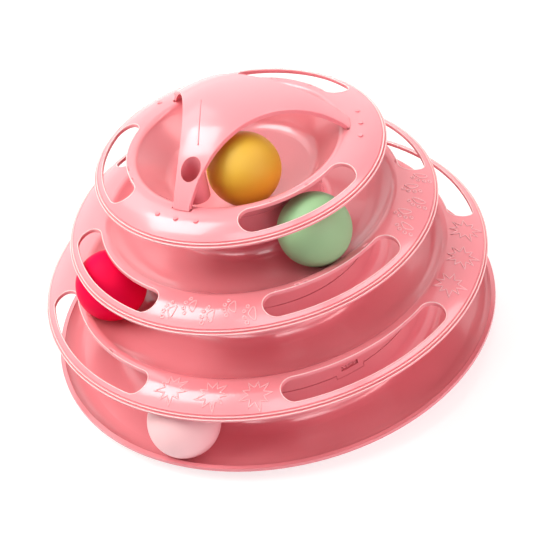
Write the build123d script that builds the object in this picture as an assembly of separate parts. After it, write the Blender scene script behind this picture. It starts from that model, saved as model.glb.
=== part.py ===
from build123d import *
import os
from math import acos, asin, atan2, cos, degrees, hypot, radians, sin, sqrt, tan

# Cat ball track tower: an annular base tray, three tiers that stack on it by snap collars, a
# three-legged guard over the top bowl, one hollow ball in each track and pads under the base.
# Millimetres, +Z up. The origin is on the ground under the tower's axis. An azimuth is counted
# from -Y towards +X.

# Driving sizes of the tower
ball_radius = 19.5
ball_wall = 1.6
upper_rim_radius = 78.6       # outer edge of the top tier
wall = 2.0                    # moulded wall of trays, tiers and skirts
tier_names = ["lower_tier", "middle_tier", "upper_tier"]

# Clearances
rolling_gap = 0.3             # ball to the track that it rolls on
ball_side_gap = 3.0           # ball to the collar that it rolls round
base_rim_gap = 0.7            # ball to the rim of the base tray
bowl_ball_gap = 0.5           # ball of the middle tier to the bowl above it
base_ball_cover = 0.3         # how far the base ball stands above the lower edge of the rim over it
tier_ball_cover = 2.6         # the same for a ball on a tier
guard_head_room = 11.6        # top of the ball in the bowl to the top of the guard
snap_gap = 0.3                # snap collar to skirt, tongue and window
seam_gap = 0.5                # open seam between a collar and the skirt's lower edge
seat_gap = 0.3                # guard foot to flange and tab to seat slot
cut_overrun = 1.0             # how far a cutting tool passes the faces that it cuts

# Rim: two narrow ledges one below the other at the outer edge of a tier
rim_ledge_width = 1.1
rim_face_height = 1.2
rim_bottom_width = 2.4
flange_foot_rise = 3.0        # where the domed flange ends above the rim's lower edge

# Flange, rolled lip and ball track of a tier
flange_width = 21.0           # rim to the crest of the rolled lip
track_rise = 1.5              # track floor above the rim's lower edge
track_ease = 1.5              # hollow of the track's outer side over the ball's radius
lip_radius = 4.6              # rolled lip between flange and track
lip_angle = 44.0              # slope of the track where the lip begins
slot_outer_inset = 5.0        # rim to the outer edge of a paw slot
slot_inner_inset = 2.5        # crest of the lip to the inner edge of a paw slot
slot_counts = [4, 4, 3]
slot_spans = [51.6, 52.4, 59.2]   # degrees between the rounded ends of a slot
slot_turn = 0.8               # azimuth of the middle of the front slots
slot_edge_round = 0.7
closing_turn = 5.0            # degrees from a slot's end to the line where the turned surfaces close

# Snap collar: the skirt of a tier stands on the collar of the piece below
skirt_step = 0.2              # skirt's outside beyond the lowest circle of the track above it
collar_height = 19.5          # track floor to seam, on the base and the lower tier
top_seam_share = 0.47         # of the height from the middle tier's track to the bowl
collar_foot_share = 0.59      # hollow at a collar's foot, of the height below the collar's thick head
spigot_wall = 1.6
spigot_height = 5.3           # above the seam, inside the skirt
snap_shares = [0.0, 0.5, 0.5]     # azimuth of each skirt's first window, of the pitch of its slots
window_width = 10.4
window_height = 3.0
window_rise = 1.8             # seam to the lower edge of the window
barb_reach = 1.0              # how far the barb stands into the window
barb_lip_height = 0.6
tongue_width = 16.6           # tongue of the skirt below the seam, under each window
tongue_length = 2.1

# Base tray
pad_height = 2.5
pad_inset = 0.3               # flat of the tray's floor to the edge of a pad
pad_count = 6
base_ramp_inset = 13.0        # outer edge to where the flat floor begins to rise
base_ramp_radius = 12.9
base_rim_width = 2.4
base_rim_rise = 6.0           # above the tray's floor
base_rim_height = 2.0

# Top bowl
bowl_corner_radius = 11.0
bowl_side_width = 21.8        # crest of the lip to the edge of the dished floor
bowl_dish_angle = 10.0        # slope of the dished floor at its edge
top_track_inset = 11.7        # edge of the dished floor to the circle where the ball lies

# Guard over the top bowl
guard_foot_reach = 2.9        # outer end of a leg beyond the crest of the lip
guard_wall = 2.2
guard_waist_share = 0.395     # middle of a hollow side, of the radius at the legs' outer ends
guard_edge_round = 0.6
leg_count = 3
leg_azimuth = 62.0
leg_width = 9.6               # at the foot
tab_width = 7.0
tab_thickness = 1.6
tab_depth = 6.0
tab_inset = 1.6               # outer end of a leg to the middle of its tab
seat_slot_width = 11.6
socket_azimuth = -57.0
socket_inset = 15.5           # outer end of the leg to the axis of the wand socket
socket_bore = 11.0
socket_wall = 1.3
socket_drop = 2.9             # how far the socket hangs below the seat

# Round pips beside each leg seat
pip_radius = 1.3
pip_height = 0.6
pip_inset = 12.6              # rim to the circle of the pips
pip_step = 10.0
pip_count = 3

# Where the balls lie: azimuth of each, and how far the top ball is from touching the socket
base_ball_azimuth = -55.5
lower_ball_azimuth = -102.0
middle_ball_azimuth = 5.6
top_ball_swing = 7.3

# Radii that follow from the sizes above
track_ramp_radius = ball_radius + track_ease
lip_reach = (track_ramp_radius + lip_radius) * sin(radians(lip_angle))
track_inset = flange_width + lip_reach
slot_width = flange_width - slot_outer_inset - slot_inner_inset
rim_radius_step = ball_radius + ball_side_gap + skirt_step
rim_radii = [upper_rim_radius + i * rim_radius_step for i in reversed(range(len(tier_names)))]
track_radii = [rim - track_inset for rim in rim_radii]
collar_radii = [radius + skirt_step for radius in track_radii]   # collar under each tier
base_track_radius = collar_radii[0] + ball_radius + ball_side_gap
base_rim_drop = ball_radius + rolling_gap - base_rim_rise
base_rim_inside = base_track_radius + sqrt((ball_radius + base_rim_gap) ** 2 - base_rim_drop ** 2)
base_radius = base_rim_inside + base_rim_width
base_floor_start = base_radius - base_ramp_inset
bowl_crest_radius = upper_rim_radius - flange_width
bowl_floor_radius = bowl_crest_radius - bowl_side_width
top_track_radius = bowl_floor_radius - top_track_inset
guard_foot_radius = bowl_crest_radius + guard_foot_reach
guard_waist_radius = guard_waist_share * guard_foot_radius
tab_radius = guard_foot_radius - tab_inset
socket_radius = guard_foot_radius - socket_inset
socket_outer_radius = socket_bore / 2 + socket_wall
pip_circle_radius = upper_rim_radius - pip_inset

# Heights that follow from the sizes above
base_floor = pad_height + wall
lower_rim_height = base_floor + rolling_gap + 2 * ball_radius - base_ball_cover
tier_pitch = track_rise + rolling_gap + 2 * ball_radius - tier_ball_cover
rim_heights = [lower_rim_height + i * tier_pitch for i in range(len(tier_names))]
track_floors = [height + track_rise for height in rim_heights]
crest_rise = track_rise + (track_ramp_radius + lip_radius) * (1 - cos(radians(lip_angle)))
guard_seat = rim_heights[-1] + crest_rise + seat_gap

# Side of the top bowl: a tangent of the rolled lip that clears the ball of the middle tier
bowl_lip = (bowl_crest_radius, rim_heights[-1] + crest_rise - lip_radius)
ball_run = track_radii[1] - bowl_lip[0]
ball_fall = track_floors[1] + rolling_gap + ball_radius - bowl_lip[1]
side_offset = ball_radius + bowl_ball_gap - lip_radius + wall
side_turn = atan2(ball_fall, ball_run) + acos(side_offset / hypot(ball_run, ball_fall))
bowl_side_angle = 90 + degrees(side_turn)

# Corner and dished floor of the top bowl
dish_radius = bowl_floor_radius / sin(radians(bowl_dish_angle))
bowl_bend = lip_radius + bowl_corner_radius
bowl_corner_x = bowl_floor_radius - bowl_corner_radius * sin(radians(bowl_dish_angle))
bowl_side_run = bowl_lip[0] - bowl_corner_x - bowl_bend * sin(radians(bowl_side_angle))
bowl_side_fall = bowl_side_run * tan(radians(bowl_side_angle))
bowl_corner_z = bowl_lip[1] + bowl_bend * cos(radians(bowl_side_angle)) - bowl_side_fall
bowl_corner = (bowl_corner_x, bowl_corner_z)
bowl_dish = (0.0, bowl_corner_z + (dish_radius - bowl_corner_radius) * cos(radians(bowl_dish_angle)))
top_ball_floor = bowl_dish[1] - sqrt(dish_radius ** 2 - top_track_radius ** 2)
guard_top = top_ball_floor + rolling_gap + 2 * ball_radius + guard_head_room

# Seams between each collar and the skirt on it, from the base upwards
top_skirt_run = collar_radii[-1] - wall / 2 - bowl_corner_x
top_skirt_top = bowl_corner_z - sqrt((bowl_corner_radius + wall / 2) ** 2 - top_skirt_run ** 2)
top_collar_height = top_seam_share * (top_skirt_top - track_floors[1])
collar_heights = [collar_height, collar_height, top_collar_height]
collar_floors = [base_floor] + track_floors[:-1]
seams = [floor + height for floor, height in zip(collar_floors, collar_heights)]
collar_head_height = tongue_length + snap_gap + spigot_wall
collar_foot_radii = [collar_foot_share * (height - collar_head_height) for height in collar_heights]
base_flat_start = collar_radii[0] + collar_foot_radii[0]
pad_radius = (base_floor_start - base_flat_start) / 2 - pad_inset
pad_circle_radius = (base_floor_start + base_flat_start) / 2

# Azimuth of the top ball, from where it would touch the wand socket
socket_reach = ball_radius + rolling_gap + socket_outer_radius
contact_leg = top_track_radius ** 2 + socket_radius ** 2 - socket_reach ** 2
contact_angle = degrees(acos(contact_leg / (2 * top_track_radius * socket_radius)))
top_ball_azimuth = socket_azimuth + contact_angle + top_ball_swing


def polar(centre, radius, angle):
    """Point of a circle in a section, angle in degrees from the outward direction."""
    return (centre[0] + radius * cos(radians(angle)), centre[1] + radius * sin(radians(angle)))


def section_arc(centre, radius, start, end):
    """Arc of a section between two angles."""
    middle = (start + end) / 2
    return ThreePointArc(polar(centre, radius, start), polar(centre, radius, middle),
                         polar(centre, radius, end))


def chain(points):
    """Straight edges of a section through the given points."""
    return [Line(a, b) for a, b in zip(points, points[1:])]


def on_azimuth(radius, azimuth, height=0.0):
    """Point of the tower at a radius, azimuth and height."""
    return Vector(radius * sin(radians(azimuth)), -radius * cos(radians(azimuth)), height)


def turned(shape, azimuth):
    """A shape drawn on azimuth zero, turned to another azimuth."""
    return shape.rotate(Axis.Z, azimuth)


def revolved(section, index):
    """Solid of revolution of a section, closed on a line that no paw slot of the tier crosses."""
    closing = slot_turn + slot_spans[index] / 2 + closing_turn
    return turned(revolve(Plane.XZ * section, Axis.Z), closing - 90)


def box_between(x_size, y_start, y_end, z_start, z_end):
    """Block on azimuth zero, centred across it, between two radii and two heights."""
    block = Box(x_size, y_end - y_start, z_end - z_start)
    return Pos(0, -(y_start + y_end) / 2, (z_start + z_end) / 2) * block


def rim_and_flange(rim, height):
    """Edges of the stepped rim and of the domed flange, over and under, up to the lip's crest."""
    crest = (rim - flange_width, height + crest_rise)
    foot = (rim - 2 * rim_ledge_width, height + flange_foot_rise)
    run = foot[0] - crest[0]
    fall = crest[1] - foot[1]
    radius = (run ** 2 + fall ** 2) / (2 * fall)
    centre = (crest[0], crest[1] - radius)
    foot_angle = degrees(atan2(foot[1] - centre[1], foot[0] - centre[0]))
    over = section_arc(centre, radius, 90, foot_angle)
    under = section_arc(centre, radius - wall, 90, foot_angle)
    steps = chain([
        foot,
        (foot[0], height + 2 * rim_face_height),
        (rim - rim_ledge_width, height + 2 * rim_face_height),
        (rim - rim_ledge_width, height + rim_face_height),
        (rim, height + rim_face_height),
        (rim, height),
        (rim - rim_bottom_width, height),
        polar(centre, radius - wall, foot_angle),
    ])
    lip_centre = (crest[0], crest[1] - lip_radius)
    return [over, under] + steps, lip_centre


def collar_edges(index, floor_start):
    """Edges of a track floor, the hollow at the collar's foot, the collar and its spigot."""
    floor = collar_floors[index]
    radius = collar_radii[index]
    seam = seams[index]
    hollow = collar_foot_radii[index]
    foot = (radius + hollow, floor + hollow)
    spigot_outside = radius - wall - snap_gap
    spigot_inside = spigot_outside - spigot_wall
    over = chain([(floor_start, floor), (foot[0], floor)])
    under = chain([(floor_start, floor - wall), (foot[0], floor - wall)])
    over.append(section_arc(foot, hollow, -90, -180))
    under.append(section_arc(foot, hollow + wall, -90, -180))
    top = chain([
        (radius, foot[1]),
        (radius, seam),
        (spigot_outside, seam),
        (spigot_outside, seam + spigot_height),
        (spigot_inside, seam + spigot_height),
        (spigot_inside, seam - collar_head_height),
        (radius - wall, seam - collar_head_height),
        (radius - wall, foot[1]),
    ])
    return over + under + top


def skirt_face(index, top):
    """Section of the skirt that stands on the collar of the piece below, with its tongues' length."""
    bottom = seams[index] - tongue_length
    face = Rectangle(wall, top - bottom, align=(Align.MAX, Align.MIN))
    return Pos(collar_radii[index], bottom) * face


def round_snaps(shape, index):
    """A shape drawn on azimuth zero, repeated at every snap of a skirt."""
    count = slot_counts[index]
    return [turned(shape, (snap_shares[index] + i) * 360 / count) for i in range(count)]


def barbs(index):
    """Snap barbs of a spigot, one behind each window of the skirt."""
    outside = collar_radii[index] - wall - snap_gap
    root = outside - spigot_wall / 2
    tip = outside + snap_gap + barb_reach
    low = seams[index] + window_rise + snap_gap
    high = seams[index] + window_rise + window_height - snap_gap
    outline = chain([(root, low), (tip, low), (tip, low + barb_lip_height), (root, high), (root, low)])
    barb = extrude(Plane.XZ * make_face(outline), (window_width - 2 * snap_gap) / 2, both=True)
    return round_snaps(turned(barb, -90), index)


def ring_between(inside, outside, low, high):
    """Tube between two radii and two heights."""
    tube = Cylinder(outside, high - low) - Cylinder(inside, high - low)
    return Pos(0, 0, (low + high) / 2) * tube


def tongue_recesses(index):
    """Cutters for the recesses of a collar that take the tongues of the skirt."""
    radius = collar_radii[index]
    seam = seams[index]
    low = seam - tongue_length - snap_gap
    ring = ring_between(radius - wall - snap_gap, radius + cut_overrun, low, seam)
    block = box_between(tongue_width + 2 * snap_gap, radius - 2 * wall, radius + 2 * cut_overrun,
                        low - cut_overrun, seam + cut_overrun)
    return [piece & ring for piece in round_snaps(block, index)]


def tongue_gaps(index):
    """Cutters that trim a skirt back to the seam between its tongues."""
    radius = collar_radii[index]
    seam = seams[index]
    low = seam - tongue_length - cut_overrun
    ring = ring_between(radius - 2 * wall, radius + cut_overrun, low, seam + seam_gap)
    block = box_between(tongue_width, radius - 2 * wall - cut_overrun, radius + 2 * cut_overrun,
                        low - cut_overrun, seam + cut_overrun)
    return ring - round_snaps(block, index)


def windows(index):
    """Cutters for the snap windows of a skirt."""
    radius = collar_radii[index]
    low = seams[index] + window_rise
    window = box_between(window_width, radius - 2 * wall, radius + cut_overrun, low, low + window_height)
    return round_snaps(window, index)


def paw_slots(rim, height, count, span):
    """Cutters for the round-ended paw slots of a flange."""
    middle = rim - slot_outer_inset - slot_width / 2
    end_angle = degrees(asin(slot_width / 2 / middle))
    arc_span = span - 2 * end_angle
    path = CenterArc((0, 0), middle, slot_turn - 90 - arc_span / 2, arc_span)
    slot = extrude(Pos(0, 0, height - cut_overrun) * SlotArc(path, slot_width), 2 * crest_rise)
    return [turned(slot, i * 360 / count) for i in range(count)]


def flange_surface(rim, height, radius):
    """Height of a flange's upper surface at a radius."""
    run = flange_width - 2 * rim_ledge_width
    fall = crest_rise - flange_foot_rise
    dome = (run ** 2 + fall ** 2) / (2 * fall)
    return height + crest_rise - dome + sqrt(dome ** 2 - (radius - rim + flange_width) ** 2)


def rounded_slots(tier, rim, height):
    """Round the upper edges of the paw slots."""
    slack = slot_edge_round / 2
    inner = rim - slot_outer_inset - slot_width - slack
    outer = rim - slot_outer_inset + slack

    def is_upper(edge):
        middle = edge.position_at(1 / 2)
        radius = hypot(middle.X, middle.Y)
        if not inner < radius < outer:
            return False
        return abs(middle.Z - flange_surface(rim, height, radius)) < slack

    return fillet([edge for edge in tier.edges() if is_upper(edge)], slot_edge_round)


def base_tray():
    """Annular tray with a low turned-out rim and the collar for the lowest tier."""
    centre = (base_floor_start, base_floor + base_ramp_radius)
    rim_angle = -degrees(acos((base_rim_inside - centre[0]) / base_ramp_radius))
    rim_top = base_floor + base_rim_rise
    edges = collar_edges(0, base_floor_start)
    edges.append(section_arc(centre, base_ramp_radius, -90, rim_angle))
    edges.append(section_arc(centre, base_ramp_radius + wall, -90, rim_angle))
    edges += chain([
        polar(centre, base_ramp_radius, rim_angle),
        (base_rim_inside, rim_top),
        (base_radius, rim_top),
        (base_radius, rim_top - base_rim_height),
        polar(centre, base_ramp_radius + wall, rim_angle),
    ])
    return revolved(make_face(edges), 0) - tongue_recesses(0) + barbs(0)


def track_tier(index):
    """Lower or middle tier: flange with paw slots, ball track, skirt below and collar above."""
    rim = rim_radii[index]
    height = rim_heights[index]
    edges, lip_centre = rim_and_flange(rim, height)
    track = (track_radii[index], track_floors[index] + track_ramp_radius)
    edges.append(section_arc(lip_centre, lip_radius, 90, 90 + lip_angle))
    edges.append(section_arc(lip_centre, lip_radius - wall, 90, 90 + lip_angle))
    edges.append(section_arc(track, track_ramp_radius, lip_angle - 90, -90))
    edges.append(section_arc(track, track_ramp_radius + wall, lip_angle - 90, -90))
    edges += collar_edges(index + 1, track[0])
    section = make_face(edges) + skirt_face(index, track_floors[index] - wall / 2)
    tier = revolved(section, index)
    tier = tier - tongue_gaps(index) - windows(index)
    tier = tier - tongue_recesses(index + 1) + barbs(index + 1)
    tier = tier - paw_slots(rim, height, slot_counts[index], slot_spans[index])
    return rounded_slots(tier, rim, height)


def bowl_section():
    """Edges of the top bowl inside the lip."""
    edges = []
    ends = []
    for depth in (0.0, wall):
        lip = lip_radius - depth
        bend = bowl_corner_radius + depth
        bottom = dish_radius + depth
        edges.append(section_arc(bowl_lip, lip, 90, 90 + bowl_side_angle))
        edges += chain([polar(bowl_lip, lip, 90 + bowl_side_angle),
                        polar(bowl_corner, bend, bowl_side_angle - 90)])
        edges.append(section_arc(bowl_corner, bend, bowl_side_angle - 90, bowl_dish_angle - 90))
        edges.append(section_arc(bowl_dish, bottom, bowl_dish_angle - 90, -90))
        ends.append(polar(bowl_dish, bottom, -90))
    return edges + chain(ends)


def seat_slots(height):
    """Cutters for the slots of the top flange that take the tabs of the guard."""
    slot = box_between(seat_slot_width, tab_radius - tab_thickness / 2 - seat_gap,
                       tab_radius + tab_thickness / 2 + seat_gap,
                       height + crest_rise - 2 * wall, height + crest_rise + cut_overrun)
    return [turned(slot, leg_azimuth + i * 360 / leg_count) for i in range(leg_count)]


def pips(height):
    """Round pips of the top flange, in threes outside each leg seat."""
    pip = Pos(0, -pip_circle_radius, height) * Cylinder(
        pip_radius, wall + pip_height, align=(Align.CENTER, Align.CENTER, Align.MIN))
    spread = [(i - (pip_count - 1) / 2) * pip_step for i in range(pip_count)]
    legs = [leg_azimuth + i * 360 / leg_count for i in range(leg_count)]
    return [turned(pip, leg + step) for leg in legs for step in spread]


def upper_tier():
    """Top tier: flange with paw slots, closed bowl, seats for the guard and skirt below."""
    rim = rim_radii[-1]
    height = rim_heights[-1]
    index = len(tier_names) - 1
    edges, _ = rim_and_flange(rim, height)
    section = make_face(edges + bowl_section()) + skirt_face(index, top_skirt_top)
    tier = revolved(section, index)
    tier = tier - tongue_gaps(index) - windows(index)
    tier = tier - paw_slots(rim, height, slot_counts[-1], slot_spans[-1])
    tier = rounded_slots(tier, rim, height)
    tier = tier - seat_slots(height)
    return tier + pips(flange_surface(rim, height, pip_circle_radius) - wall)


def is_on_dome(edge, centre_height, radius):
    """Whether an edge of the guard lies on its dome, clear of the feet."""
    middle = edge.position_at(1 / 2)
    reach = (middle - Vector(0, 0, centre_height)).length
    return abs(reach - radius) < guard_wall / 2 and hypot(middle.X, middle.Y) < guard_foot_radius / 2


def side_circle():
    """Circle of the guard's plan that hollows one side between the ends of two legs."""
    half = radians(180 / leg_count)
    along = leg_width / 2 * sin(half) + guard_foot_radius * cos(half)
    reach = (leg_width / 2) ** 2 + guard_foot_radius ** 2
    waist = guard_waist_radius
    radius = (reach + waist ** 2 - 2 * waist * along) / (2 * (along - waist))
    return turned(Pos(0, -waist - radius) * Circle(radius), leg_azimuth + 180 / leg_count)


def guard_bridge():
    """Domed web on three legs, with tabs into the top flange and a tubular wand socket."""
    rise = guard_top - guard_seat
    dome_radius = (guard_foot_radius ** 2 + rise ** 2) / (2 * rise)
    dome = Pos(0, 0, guard_top - dome_radius)
    outside = dome * Sphere(dome_radius)
    inside = dome * Sphere(dome_radius - guard_wall)
    sides = [turned(side_circle(), i * 360 / leg_count) for i in range(leg_count)]
    plan = Circle(guard_foot_radius + cut_overrun) - sides
    column = extrude(Pos(0, 0, guard_seat) * plan, rise + cut_overrun)
    web = column & (outside - inside)
    upper_edges = [edge for edge in web.edges() if is_on_dome(edge, guard_top - dome_radius, dome_radius)]
    web = fillet(upper_edges, guard_edge_round)
    socket_at = on_azimuth(socket_radius, socket_azimuth)
    socket_bottom = guard_seat - socket_drop
    tube_height = guard_top - socket_bottom
    tube = Pos(socket_at.X, socket_at.Y, socket_bottom) * Cylinder(
        socket_outer_radius, tube_height, align=(Align.CENTER, Align.CENTER, Align.MIN))
    bore = Pos(socket_at.X, socket_at.Y, socket_bottom - cut_overrun) * Cylinder(
        socket_bore / 2, tube_height + 2 * cut_overrun, align=(Align.CENTER, Align.CENTER, Align.MIN))
    tab = box_between(tab_width, tab_radius - tab_thickness / 2, tab_radius + tab_thickness / 2,
                      guard_seat - tab_depth, guard_seat + seat_gap)
    tabs = [turned(tab, leg_azimuth + i * 360 / leg_count) for i in range(leg_count)]
    return web + (tube & outside) + tabs - bore


def ball(track_radius, floor, azimuth):
    """Hollow ball at rest on a track."""
    shell = Sphere(ball_radius) - Sphere(ball_radius - ball_wall)
    return Pos(*on_azimuth(track_radius, azimuth, floor + rolling_gap + ball_radius)) * shell


def pads():
    """Round anti-slip pads under the base tray's floor."""
    pad = Pos(0, -pad_circle_radius, 0) * Cylinder(
        pad_radius, pad_height, align=(Align.CENTER, Align.CENTER, Align.MIN))
    return [turned(pad, i * 360 / pad_count) for i in range(pad_count)]


def build():
    """All pieces of the toy by node name."""
    nodes = {"base_tray": base_tray()}
    nodes["lower_tier"] = track_tier(0)
    nodes["middle_tier"] = track_tier(1)
    nodes["upper_tier"] = upper_tier()
    nodes["guard_bridge"] = guard_bridge()
    nodes["base_ball"] = ball(base_track_radius, base_floor, base_ball_azimuth)
    nodes["lower_ball"] = ball(track_radii[0], track_floors[0], lower_ball_azimuth)
    nodes["middle_ball"] = ball(track_radii[1], track_floors[1], middle_ball_azimuth)
    nodes["top_ball"] = ball(top_track_radius, top_ball_floor, top_ball_azimuth)
    for number, pad in enumerate(pads(), start=1):
        nodes[f"anti_slip_pad_{number}"] = pad
    return nodes


os.makedirs("parts", exist_ok=True)
for name, solid in build().items():
    export_step(solid, f"parts/{name}.step")
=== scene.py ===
from math import asin, cos, degrees, pi, radians, sin

import bmesh
import bpy
from mathutils import Matrix, Vector
from mathutils.bvhtree import BVHTree


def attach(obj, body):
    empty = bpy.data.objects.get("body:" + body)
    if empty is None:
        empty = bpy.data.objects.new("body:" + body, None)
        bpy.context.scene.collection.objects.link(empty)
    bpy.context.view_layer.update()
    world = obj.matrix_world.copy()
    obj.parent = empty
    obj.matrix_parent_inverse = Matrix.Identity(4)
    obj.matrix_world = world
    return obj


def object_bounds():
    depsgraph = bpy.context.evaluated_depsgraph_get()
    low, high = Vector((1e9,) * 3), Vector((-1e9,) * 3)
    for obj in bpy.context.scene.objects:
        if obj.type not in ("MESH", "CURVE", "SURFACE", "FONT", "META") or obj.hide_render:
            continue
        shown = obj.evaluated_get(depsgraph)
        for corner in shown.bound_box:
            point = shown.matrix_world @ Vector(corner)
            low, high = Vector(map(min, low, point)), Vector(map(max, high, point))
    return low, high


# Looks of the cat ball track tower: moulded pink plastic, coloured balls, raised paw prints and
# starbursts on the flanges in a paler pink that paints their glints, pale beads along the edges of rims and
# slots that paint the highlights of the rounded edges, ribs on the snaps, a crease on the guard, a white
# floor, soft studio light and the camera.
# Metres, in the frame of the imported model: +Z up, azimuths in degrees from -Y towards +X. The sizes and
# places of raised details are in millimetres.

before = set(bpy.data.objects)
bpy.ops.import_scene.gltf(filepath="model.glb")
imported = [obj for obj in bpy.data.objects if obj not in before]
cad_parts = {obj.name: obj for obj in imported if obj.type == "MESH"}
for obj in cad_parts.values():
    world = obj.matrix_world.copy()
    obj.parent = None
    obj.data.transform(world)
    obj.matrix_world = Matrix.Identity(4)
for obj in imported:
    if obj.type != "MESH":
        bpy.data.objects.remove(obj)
cad_low, cad_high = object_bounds()

MM = 0.001
UP = Vector((0.0, 0.0, 1.0))
TOWER_SHELLS = ["base_tray", "lower_tier", "middle_tier", "upper_tier", "guard_bridge"]

# Camera of the photograph
CAMERA_AZIMUTH = -22.0
CAMERA_ELEVATION = 38.736
CAMERA_ROLL = 12.769
CAMERA_DISTANCE = 1.0069
CAMERA_TARGET = Vector((1.908, -0.771, 38.796)) * MM
CAMERA_LENS = 120.0
CAMERA_SENSOR = 36.0
CAMERA_CLIP = 0.01

# Colours of the plastics, linear
PINK = (0.71, 0.230, 0.266)
PINK_RAISED_PAINTED_GLINT = (0.74, 0.36, 0.39)   # painted highlight: the fine raised lines are paler than the flange to stand in for their glints
PINK_EDGE_PAINTED_HIGHLIGHT = (0.80, 0.52, 0.53)     # painted highlight of the rounded edges, paler than the plastic itself
BASE_BALL = (0.83, 0.555, 0.58)
LOWER_BALL = (0.77, 0.003, 0.058)
MIDDLE_BALL = (0.245, 0.45, 0.235)
TOP_BALL = (0.57, 0.365, 0.022)
PAD_GREY = (0.72, 0.70, 0.68)

# Finishes: share of the colour that it drifts to, roughness, coat and specular level
GLOSS = (0.97, 0.2, 0.25, 0.5)
RAISED_GLOSS = (0.97, 0.17, 0.3, 0.5)
EDGE_GLOSS = (0.97, 0.2, 0.2, 0.5)
SATIN = (0.95, 0.5, 0.0, 0.25)
DEEP_SATIN = (0.95, 0.5, 0.0, 0.03)
RUBBER = (0.9, 0.6, 0.0, 0.3)
BALLS = [("base_ball", BASE_BALL, SATIN), ("lower_ball", LOWER_BALL, DEEP_SATIN),
         ("middle_ball", MIDDLE_BALL, SATIN), ("top_ball", TOP_BALL, SATIN)]

# Unevenness of the plastics: scale and detail of each noise
NOISE_RANGE = (0.3, 0.7)      # values that the noise mostly takes
DRIFT_NOISE = (18.0, 2.0)
POLISH_NOISE = (40.0, 1.0)
PEEL_NOISE = (1400.0, 1.0)
POLISH_SWING = 0.05           # share of the roughness
PEEL_STRENGTH = 0.05
PEEL_DEPTH = 0.03
COAT_ROUGHNESS = 0.06

# Floor and the colours of the light
FLOOR_WHITE = (0.34, 0.34, 0.34)
FLOOR_ROUGHNESS = 0.8
FLOOR_SIZE = 30.0
FLOOR_GLOW = 0.72             # light of the floor itself near the tower, which keeps its shadow soft
FAR_GLOW = 1.0                # the same far from the tower, as white as the background
NEAR_FLOOR = 0.6
FAR_FLOOR = 1.4
WARM = (1.0, 0.97, 0.90)
WHITE = (1.0, 1.0, 1.0)
BLUSH = (1.0, 0.05, 0.25)     # light thrown back by the pink plastic
ROSE = (1.0, 0.60, 0.58)      # pink plastic mirrored in itself

# Soft boxes: azimuth, elevation, width in metres and radiance. Some light the surfaces, some are only
# mirrored in them.
BOX_DISTANCE = 1.5
LIGHTING_BOXES = {"key_left": (-110.0, 48.0, 0.9, 7.6), "back_left": (-150.0, 60.0, 0.9, 5.8),
                  "back_right": (140.0, 30.0, 0.9, 8.0), "front_right": (30.0, 22.0, 0.9, 3.9),
                  "front_top": (-30.0, 68.0, 0.9, 2.4)}
BLUSH_BOXES = {"blush_front": (-22.0, 18.0, 0.7, 2.0), "blush_right": (50.0, 18.0, 0.7, 2.8)}
ROSE_BOXES = {"sheen_right": (64.0, 50.0, 0.9, 8.5)}
MIRRORED_BOXES = {"sheen_back": (-147.0, 62.0, 0.6, 9.0), "sheen_back_low": (-172.0, 46.0, 0.6, 2.0),
                  "sheen_left": (-110.0, 48.0, 0.9, 3.0), "sheen_top": (-12.0, 75.0, 0.7, 3.9),
                  "sheen_front": (14.0, 20.0, 0.9, 2.0), "sheen_front_left": (-64.0, 38.0, 0.7, 6.0),
                  "sheen_front_top": (-16.0, 48.0, 0.6, 7.0)}
TENT_SHEEN = 1.5

# Raised beads, millimetres
BEAD_WIDTH = 0.85
BEAD_HEIGHT = 0.55
BEAD_SINK = 0.12              # lower edges of a bead under the surface that carries it
BEAD_SIDES = 6
RAY_START = 2                 # rays start at this many times the tower's height or radius

# Motifs on the flanges between the paw slots. A paw print has its azimuth from the middle of the gap, its
# radius and its turn, a starburst its azimuth and radius. Outlines are (along the rim, outwards).
MOTIF_GAPS = [-44.2, 45.8]    # azimuths of the middles of the gaps that carry motifs
PAW_PRINTS = [(-12.0, 92.0, 6.0), (-5.5, 87.6, -6.0), (1.4, 92.4, 4.0), (8.6, 87.9, -8.0), (15.0, 92.8, -4.0)]
PAD_CORNERS = [(1.1, -3.6), (2.2, -3.0), (1.8, 3.0), (0.5, 3.6), (-1.7, 0.7), (-1.7, -0.9)]
PAD_STEPS = 8
TOES = [(-1.6, -4.4), (-3.7, -1.9), (-4.0, 1.3), (-3.1, 4.1)]
TOE_RADIUS = 0.85
TOE_STEPS = 12
STARBURSTS = [(-11.0, 111.0), (0.8, 111.8), (12.6, 112.3)]
STAR_RADIUS = 8.6
STAR_POINT_SHARES = [1.0, 0.86, 1.06, 0.9, 1.1, 0.88, 1.0, 0.92, 1.08]
STAR_HOLLOW_SHARE = 0.48
STAR_SIDE_STEPS = 4

# Rims of the tiers: node, outer radius and height of the lower edge; each rim has two ledges
RIMS = [("lower_tier", 124.0, 43.5), ("middle_tier", 101.3, 81.7), ("upper_tier", 78.6, 119.9)]
LEDGE_COUNT = 2
LEDGE_WIDTH = 1.1
LEDGE_HEIGHT = 1.2
EDGE_WIDTH = 0.7
EDGE_DEPTH = 0.25             # middle of a rounded edge behind the sharp edge
EDGE_STEPS = 240

# Paw slots of the flanges: node, count and degrees between the rounded ends
PAW_SLOTS = [("lower_tier", 4, 51.6), ("middle_tier", 4, 52.4), ("upper_tier", 3, 59.2)]
SLOT_OUTER_INSET = 5.0        # rim to the outer edge of a slot
SLOT_WIDTH = 13.5
SLOT_TURN = 0.8               # azimuth of the middle of the front slots
SLOT_EDGE = 0.45              # edge of a slot to the bead round it
SLOT_EDGE_WIDTH = 0.6
SLOT_EDGE_HEIGHT = 0.35
SLOT_SIDE_STEPS = 40
SLOT_END_STEPS = 14

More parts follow.
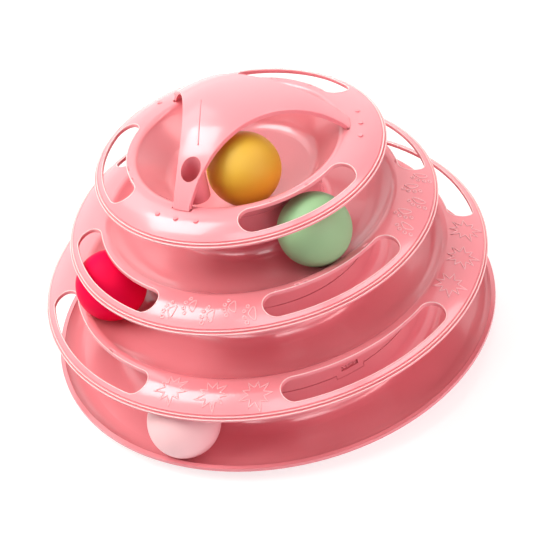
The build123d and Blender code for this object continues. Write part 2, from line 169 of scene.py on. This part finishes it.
# Snaps with ribbed barbs: node, body, radius of the skirt, height of the ribs, count and first azimuth
SNAPS = [("base_tray", "base", 85.4, 27.3, 4, 0.0), ("lower_tier", "lower_tier", 62.7, 67.8, 4, 45.0),
         ("middle_tier", "middle_tier", 40.0, 98.8, 3, 60.0)]
RIB_COUNT = 4
RIB_PITCH = 2.2
RIB_LENGTH = 1.7
RIB_WIDTH = 1.1
RIB_RISE = 0.9
RIB_STEPS = 4

# Raised crease of the guard, (along, across) the axis of its front left leg
CREASE_AXIS = -58.0
CREASE = [(6.0, -12.2), (21.3, -4.5), (33.8, 0.35)]
CREASE_STEPS = 12


def direction(azimuth, elevation=0.0):
    """Unit vector that points from the tower to an azimuth and elevation."""
    a, e = radians(azimuth), radians(elevation)
    return Vector((sin(a) * cos(e), -cos(a) * cos(e), sin(e)))


def add_node(tree, kind, **settings):
    """New shader node with the given attributes set."""
    node = tree.nodes.new(kind)
    for name, value in settings.items():
        setattr(node, name, value)
    return node


def noise(tree, coordinates, scale, detail):
    """Noise texture over the piece's own coordinates."""
    node = add_node(tree, "ShaderNodeTexNoise")
    node.inputs["Scale"].default_value = scale
    node.inputs["Detail"].default_value = detail
    tree.links.new(coordinates, node.inputs["Vector"])
    return node.outputs["Fac"]


def stretch(tree, value, given, wanted):
    """Values stretched from one range to another."""
    node = add_node(tree, "ShaderNodeMapRange")
    node.inputs["From Min"].default_value, node.inputs["From Max"].default_value = given
    node.inputs["To Min"].default_value, node.inputs["To Max"].default_value = wanted
    tree.links.new(value, node.inputs["Value"])
    return node.outputs["Result"]


def moulded_plastic(name, colour, finish):
    """Moulded plastic: slow drift of the colour, slightly uneven polish and a faint orange peel."""
    drift, roughness, coat, specular = finish
    material = bpy.data.materials.new(name)
    material.use_nodes = True
    tree = material.node_tree
    shader = tree.nodes["Principled BSDF"]
    place = add_node(tree, "ShaderNodeTexCoord").outputs["Object"]
    mix = add_node(tree, "ShaderNodeMix", data_type="RGBA")
    mix.inputs["A"].default_value = (*colour, 1.0)
    mix.inputs["B"].default_value = (*(drift * c for c in colour), 1.0)
    tint = stretch(tree, noise(tree, place, *DRIFT_NOISE), NOISE_RANGE, (0.0, 1.0))
    tree.links.new(tint, mix.inputs["Factor"])
    tree.links.new(mix.outputs["Result"], shader.inputs["Base Color"])
    uneven = (roughness * (1 - POLISH_SWING), roughness * (1 + POLISH_SWING))
    polish = stretch(tree, noise(tree, place, *POLISH_NOISE), NOISE_RANGE, uneven)
    tree.links.new(polish, shader.inputs["Roughness"])
    bump = add_node(tree, "ShaderNodeBump")
    bump.inputs["Strength"].default_value = PEEL_STRENGTH
    bump.inputs["Distance"].default_value = PEEL_DEPTH * MM
    tree.links.new(noise(tree, place, *PEEL_NOISE), bump.inputs["Height"])
    tree.links.new(bump.outputs["Normal"], shader.inputs["Normal"])
    shader.inputs["Coat Weight"].default_value = coat
    shader.inputs["Coat Roughness"].default_value = COAT_ROUGHNESS
    shader.inputs["Specular IOR Level"].default_value = specular
    return material


def dress(node, material):
    """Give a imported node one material."""
    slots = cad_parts[node].data.materials
    slots.clear()
    slots.append(material)


def surface(node):
    """Target for rays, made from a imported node."""
    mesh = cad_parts[node].data
    points = [vertex.co.copy() for vertex in mesh.vertices]
    return BVHTree.FromPolygons(points, [tuple(polygon.vertices) for polygon in mesh.polygons])


def met_from_above(target, place):
    """Point and normal where a surface is met from above at a place in plan."""
    start = Vector((place.x, place.y, RAY_START * cad_high.z))
    return target.ray_cast(start, -UP)[:2]


def met_from_outside(target, azimuth, height):
    """Point and normal where a surface is met from outside, level with a height."""
    outwards = direction(azimuth)
    start = outwards * RAY_START * cad_high.x + UP * height
    return target.ray_cast(start, -outwards)[:2]


def bead(bm, path, closed, width, height):
    """Rounded bead along points and normals of a surface, its lower edges just under the surface."""
    count = len(path)
    rings = []
    for i, (point, normal) in enumerate(path):
        before = path[i - 1][0] if closed or i else point
        after = path[(i + 1) % count][0] if closed or i + 1 < count else point
        side = normal.cross(after - before).normalized()
        ring = []
        for k in range(BEAD_SIDES + 1):
            turn = pi * k / BEAD_SIDES
            across = side * cos(turn) * width / 2
            rise = normal * (sin(turn) * height - BEAD_SINK)
            ring.append(bm.verts.new(point + (across + rise) * MM))
        rings.append(ring)
    for i in range(count if closed else count - 1):
        here, there = rings[i], rings[(i + 1) % count]
        for k in range(BEAD_SIDES + 1):
            n = (k + 1) % (BEAD_SIDES + 1)
            bm.faces.new((here[k], here[n], there[n], there[k]))
    if not closed:
        bm.faces.new(rings[0])
        bm.faces.new(rings[-1])


def beads(name, body, paths, closed, material, width=BEAD_WIDTH, height=BEAD_HEIGHT):
    """One piece made of beads that moves with a body."""
    bm = bmesh.new()
    for path in paths:
        bead(bm, path, closed, width, height)
    bmesh.ops.recalc_face_normals(bm, faces=bm.faces)
    mesh = bpy.data.meshes.new(name)
    bm.to_mesh(mesh)
    bm.free()
    mesh.shade_smooth()
    mesh.materials.append(material)
    piece = bpy.data.objects.new(name, mesh)
    bpy.context.scene.collection.objects.link(piece)
    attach(piece, body)


def between(a, b, share):
    """Point between two points in plan."""
    return (a[0] + (b[0] - a[0]) * share, a[1] + (b[1] - a[1]) * share)


def bend(first, corner, last, share):
    """Point on the curve from a first to a last point that bends towards a corner."""
    return between(between(first, corner, share), between(corner, last, share), share)


def rounded(corners, steps):
    """Closed curve that touches the middle of every side of a polygon."""
    path = []
    for i, corner in enumerate(corners):
        start = between(corners[i - 1], corner, 0.5)
        end = between(corner, corners[(i + 1) % len(corners)], 0.5)
        path += [bend(start, corner, end, k / steps) for k in range(steps)]
    return path


def along_sides(corners, steps):
    """Closed polygon with points along its sides, so that it follows a curved surface."""
    path = []
    for i, corner in enumerate(corners):
        following = corners[(i + 1) % len(corners)]
        path += [between(corner, following, k / steps) for k in range(steps)]
    return path


def circle(centre, radius, count):
    """Points round a centre."""
    turns = [2 * pi * i / count for i in range(count)]
    return [(centre[0] + radius * cos(t), centre[1] + radius * sin(t)) for t in turns]


def paw_print(turn):
    """Outlines of a paw print: the pad and four toes."""
    outlines = [rounded(PAD_CORNERS, PAD_STEPS)] + [circle(toe, TOE_RADIUS, TOE_STEPS) for toe in TOES]
    c, s = cos(radians(turn)), sin(radians(turn))
    return [[(c * u - s * v, s * u + c * v) for u, v in outline] for outline in outlines]


def starburst():
    """Outline of a star with uneven points."""
    corners = []
    count = len(STAR_POINT_SHARES)
    for i, share in enumerate(STAR_POINT_SHARES):
        for radius, turn in ((STAR_RADIUS * share, i), (STAR_RADIUS * STAR_HOLLOW_SHARE, i + 0.5)):
            angle = 2 * pi * turn / count
            corners.append((radius * cos(angle), radius * sin(angle)))
    return along_sides(corners, STAR_SIDE_STEPS)


def on_flange(target, azimuth, radius, outline):
    """Outline laid on a flange round an azimuth and a radius."""
    return [met_from_above(target, direction(azimuth + degrees(u / radius)) * (radius + v) * MM)
            for u, v in outline]


def flange_motifs(material):
    """Paw prints on the middle tier and starbursts on the lower tier, in two gaps between the slots."""
    target = surface("middle_tier")
    prints = [on_flange(target, gap + offset, radius, outline)
              for gap in MOTIF_GAPS for offset, radius, turn in PAW_PRINTS for outline in paw_print(turn)]
    beads("middle_tier_paw_prints", "middle_tier", prints, True, material)
    target = surface("lower_tier")
    stars = [on_flange(target, gap + offset, radius, starburst())
             for gap in MOTIF_GAPS for offset, radius in STARBURSTS]
    beads("lower_tier_starbursts", "lower_tier", stars, True, material)


def ledge_edge(radius, height):
    """Points and normals just behind the sharp upper edge of a ledge."""
    path = []
    for i in range(EDGE_STEPS):
        outwards = direction(360.0 * i / EDGE_STEPS)
        normal = (outwards + UP).normalized()
        edge = outwards * radius + UP * height
        path.append(((edge - normal * EDGE_DEPTH) * MM, normal))
    return path


def rim_edge_highlights(material):
    """Beads on the rounded edges of the ledges round every rim, which carry the pale painted highlight of
    those edges.
    """
    for node, radius, height in RIMS:
        paths = [ledge_edge(radius - ledge * LEDGE_WIDTH, height + (ledge + 1) * LEDGE_HEIGHT)
                 for ledge in range(LEDGE_COUNT)]
        beads(node + "_rim_edge_highlights", node, paths, True, material, EDGE_WIDTH)


def slot_outline(middle, reach, half_span, azimuth):
    """Places in plan along an outline with round ends that goes a reach beyond an arc."""
    places = []
    for side in (1, -1):
        for k in range(SLOT_SIDE_STEPS):
            turn = azimuth + side * half_span * (2 * k / SLOT_SIDE_STEPS - 1)
            places.append(direction(turn) * (middle + side * reach))
        end = azimuth + side * half_span
        outwards, onwards = direction(end) * side, direction(end + 90.0) * side
        for k in range(SLOT_END_STEPS):
            turn = pi * k / SLOT_END_STEPS
            places.append(direction(end) * middle + (outwards * cos(turn) + onwards * sin(turn)) * reach)
    return places


def slot_edge_highlights(material):
    """Beads on the rounded edges of the paw slots, which carry the pale painted highlight of those edges."""
    radii = {node: radius for node, radius, height in RIMS}
    reach = SLOT_WIDTH / 2 + SLOT_EDGE
    for node, count, span in PAW_SLOTS:
        target = surface(node)
        middle = radii[node] - SLOT_OUTER_INSET - SLOT_WIDTH / 2
        half_span = span / 2 - degrees(asin(SLOT_WIDTH / 2 / middle))
        paths = []
        for i in range(count):
            places = slot_outline(middle, reach, half_span, SLOT_TURN + 360.0 * i / count)
            paths.append([met_from_above(target, place * MM) for place in places])
        beads(node + "_slot_edge_highlights", node, paths, True, material, SLOT_EDGE_WIDTH, SLOT_EDGE_HEIGHT)


def snap_ribs(material):
    """Upright ribs on the barb behind every snap window."""
    for node, body, skirt, height, count, first in SNAPS:
        target = surface(node)
        heights = [height + RIB_LENGTH * (k / RIB_STEPS - 0.5) for k in range(RIB_STEPS + 1)]
        ribs = []
        for i in range(count):
            for k in range(RIB_COUNT):
                aside = degrees((k - (RIB_COUNT - 1) / 2) * RIB_PITCH / skirt)
                azimuth = first + 360.0 * i / count + aside
                ribs.append([met_from_outside(target, azimuth, h * MM) for h in heights])
        beads(node + "_snap_ribs", body, ribs, False, material, RIB_WIDTH, RIB_RISE)


def guard_crease(material):
    """Raised line on the guard's front left leg."""
    target = surface("guard_bridge")
    path = []
    for k in range(CREASE_STEPS + 1):
        along, across = bend(*CREASE, k / CREASE_STEPS)
        place = direction(CREASE_AXIS) * along + direction(CREASE_AXIS + 90.0) * across
        path.append(met_from_above(target, place * MM))
    beads("guard_crease", "guard_bridge", [path], False, material)


def soft_box(name, azimuth, elevation, width, radiance, colour, lights_surfaces):
    """Square soft box that looks at the middle of the tower."""
    data = bpy.data.lights.new(name, "AREA")
    data.shape = "SQUARE"
    data.size = width
    data.energy = pi * width ** 2 * radiance
    data.color = colour
    light = bpy.data.objects.new(name, data)
    bpy.context.scene.collection.objects.link(light)
    away = direction(azimuth, elevation)
    light.location = (cad_low + cad_high) / 2 + away * BOX_DISTANCE
    light.rotation_mode = "QUATERNION"
    light.rotation_quaternion = away.to_track_quat("Z", "Y")
    light.visible_diffuse = lights_surfaces
    light.visible_glossy = not lights_surfaces


def studio():
    """Soft boxes, a white tent for the reflections and a background that runs on from the floor."""
    for boxes, colour, lights_surfaces in ((LIGHTING_BOXES, WARM, True), (BLUSH_BOXES, BLUSH, True),
                                           (ROSE_BOXES, ROSE, False), (MIRRORED_BOXES, WHITE, False)):
        for name, place in boxes.items():
            soft_box(name, *place, colour, lights_surfaces)
    world = bpy.data.worlds.new("studio")
    bpy.context.scene.world = world
    world.use_nodes = True
    tree = world.node_tree
    path = add_node(tree, "ShaderNodeLightPath")
    seen = add_node(tree, "ShaderNodeMix", data_type="FLOAT")
    seen.inputs["A"].default_value = TENT_SHEEN
    seen.inputs["B"].default_value = FAR_GLOW
    tree.links.new(path.outputs["Is Camera Ray"], seen.inputs["Factor"])
    tree.links.new(seen.outputs["Result"], tree.nodes["Background"].inputs["Strength"])
    tree.nodes["Background"].inputs["Color"].default_value = (*WHITE, 1.0)
    world.cycles_visibility.diffuse = False


def floor():
    """Plain white floor that glows more far from the tower."""
    bpy.ops.mesh.primitive_plane_add(size=FLOOR_SIZE, location=(0, 0, 0))
    plane = bpy.context.object
    plane.name = "floor"
    material = bpy.data.materials.new("floor_white")
    material.use_nodes = True
    tree = material.node_tree
    shader = tree.nodes["Principled BSDF"]
    shader.inputs["Base Color"].default_value = (*FLOOR_WHITE, 1.0)
    shader.inputs["Roughness"].default_value = FLOOR_ROUGHNESS
    shader.inputs["Specular IOR Level"].default_value = 0.0
    shader.inputs["Emission Color"].default_value = (*WHITE, 1.0)
    away = add_node(tree, "ShaderNodeVectorMath", operation="LENGTH")
    tree.links.new(add_node(tree, "ShaderNodeTexCoord").outputs["Object"], away.inputs[0])
    glow = stretch(tree, away.outputs["Value"], (NEAR_FLOOR, FAR_FLOOR), (FLOOR_GLOW, FAR_GLOW))
    tree.links.new(glow, shader.inputs["Emission Strength"])
    plane.data.materials.append(material)


def camera():
    """Camera at the photograph's place, rolled as the photograph is."""
    data = bpy.data.cameras.new("photo_camera")
    data.lens = CAMERA_LENS
    data.sensor_width = CAMERA_SENSOR
    data.clip_start = CAMERA_CLIP
    cam = bpy.data.objects.new("photo_camera", data)
    bpy.context.scene.collection.objects.link(cam)
    back = direction(CAMERA_AZIMUTH, CAMERA_ELEVATION)
    cam.location = CAMERA_TARGET + back * CAMERA_DISTANCE
    cam.rotation_mode = "QUATERNION"
    upright = back.to_track_quat("Z", "Y")
    cam.rotation_quaternion = upright @ Matrix.Rotation(radians(-CAMERA_ROLL), 3, "Z").to_quaternion()
    bpy.context.scene.camera = cam


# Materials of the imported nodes
tower = moulded_plastic("tower_pink", PINK, GLOSS)
for node in TOWER_SHELLS:
    dress(node, tower)
for node, colour, finish in BALLS:
    dress(node, moulded_plastic(node + "_plastic", colour, finish))
pad = moulded_plastic("pad_rubber", PAD_GREY, RUBBER)
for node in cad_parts:
    if node.startswith("anti_slip_pad"):
        dress(node, pad)

# Raised details
# the motif beads get a paler pink, a painted highlight of their fine raised lines
flange_motifs(moulded_plastic("raised_pink_painted_highlight", PINK_RAISED_PAINTED_GLINT, RAISED_GLOSS))
# pale beads along the rim and slot edges: a painted highlight of the rounded edges, not a colour of the
# plastic
edge = moulded_plastic("edge_pink_painted_highlight", PINK_EDGE_PAINTED_HIGHLIGHT, EDGE_GLOSS)
rim_edge_highlights(edge)
slot_edge_highlights(edge)
snap_ribs(tower)
guard_crease(tower)

# Stage
floor()
studio()
camera()
bpy.context.scene.view_settings.view_transform = "Standard"
